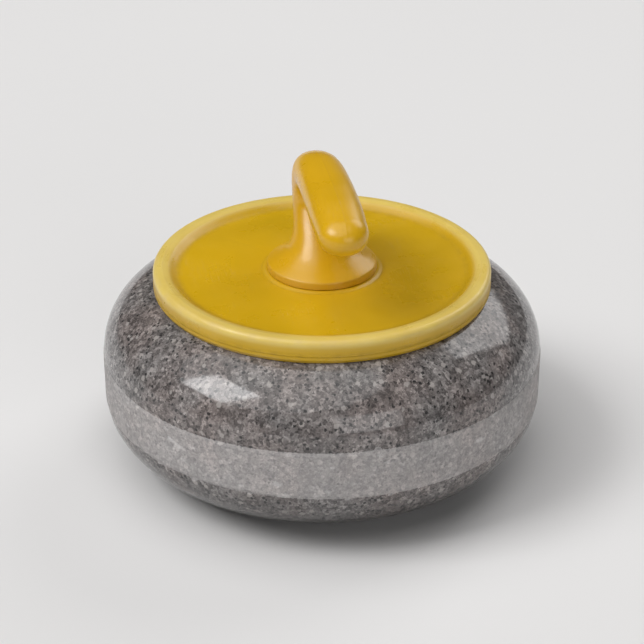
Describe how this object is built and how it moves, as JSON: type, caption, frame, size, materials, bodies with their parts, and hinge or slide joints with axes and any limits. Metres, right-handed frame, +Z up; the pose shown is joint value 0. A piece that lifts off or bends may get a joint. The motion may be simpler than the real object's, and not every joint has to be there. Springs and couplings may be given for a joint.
{
  "type": "curling stone",
  "caption": "Granite curling stone with a pale striking band, a bonded running insert, a dished yellow disc and a gooseneck handle that unscrews from a central bolt.",
  "frame": {"origin": "centre of the running ring, on the ice", "axes": "+Z up along the bolt, +X along the grip towards its tip"},
  "size_m": [0.284, 0.284, 0.2048],
  "materials": {
    "granite": "polished grey speckled granite, with a rough pale striking band",
    "hone_granite": "fine-grained blue-grey granite, ground",
    "steel": "plain stainless steel",
    "brass": "turned",
    "handle_plastic": "moulded, slightly worn",
    "disc_plastic": "moulded, slightly worn",
    "rubber": "matte",
    "nylon": "natural, waxy"
  },
  "bodies": {
    "stone": {"granite_body": "granite", "running_insert": "hone_granite", "handle_bolt": "steel", "lock_washer": "steel", "flat_washer": "steel", "cushion_washer": "rubber"},
    "turning_washer": {"slip_washer": "nylon"},
    "handle_unit": {"handle": "handle_plastic", "colour_disc": "disc_plastic", "seal_ring": "rubber", "threaded_insert": "brass", "disc_screw_1": "steel", "disc_screw_2": "steel", "disc_screw_3": "steel", "disc_screw_4": "steel"}
  },
  "joints": [
    {"name": "handle_unscrew", "type": "hinge", "parent": "stone", "child": "turning_washer", "pos_m": [0, 0, 0.119], "axis": [0, 0, 1], "range_deg": [0, 3780]},
    {"name": "handle_rise", "type": "slide", "parent": "turning_washer", "child": "handle_unit", "axis": [0, 0, 1], "range_m": [0, 0.0184]}
  ],
  "couplings": [
    {"joint": "handle_rise", "follows": "handle_unscrew", "m_per_rad": 0.00027852}
  ]
}
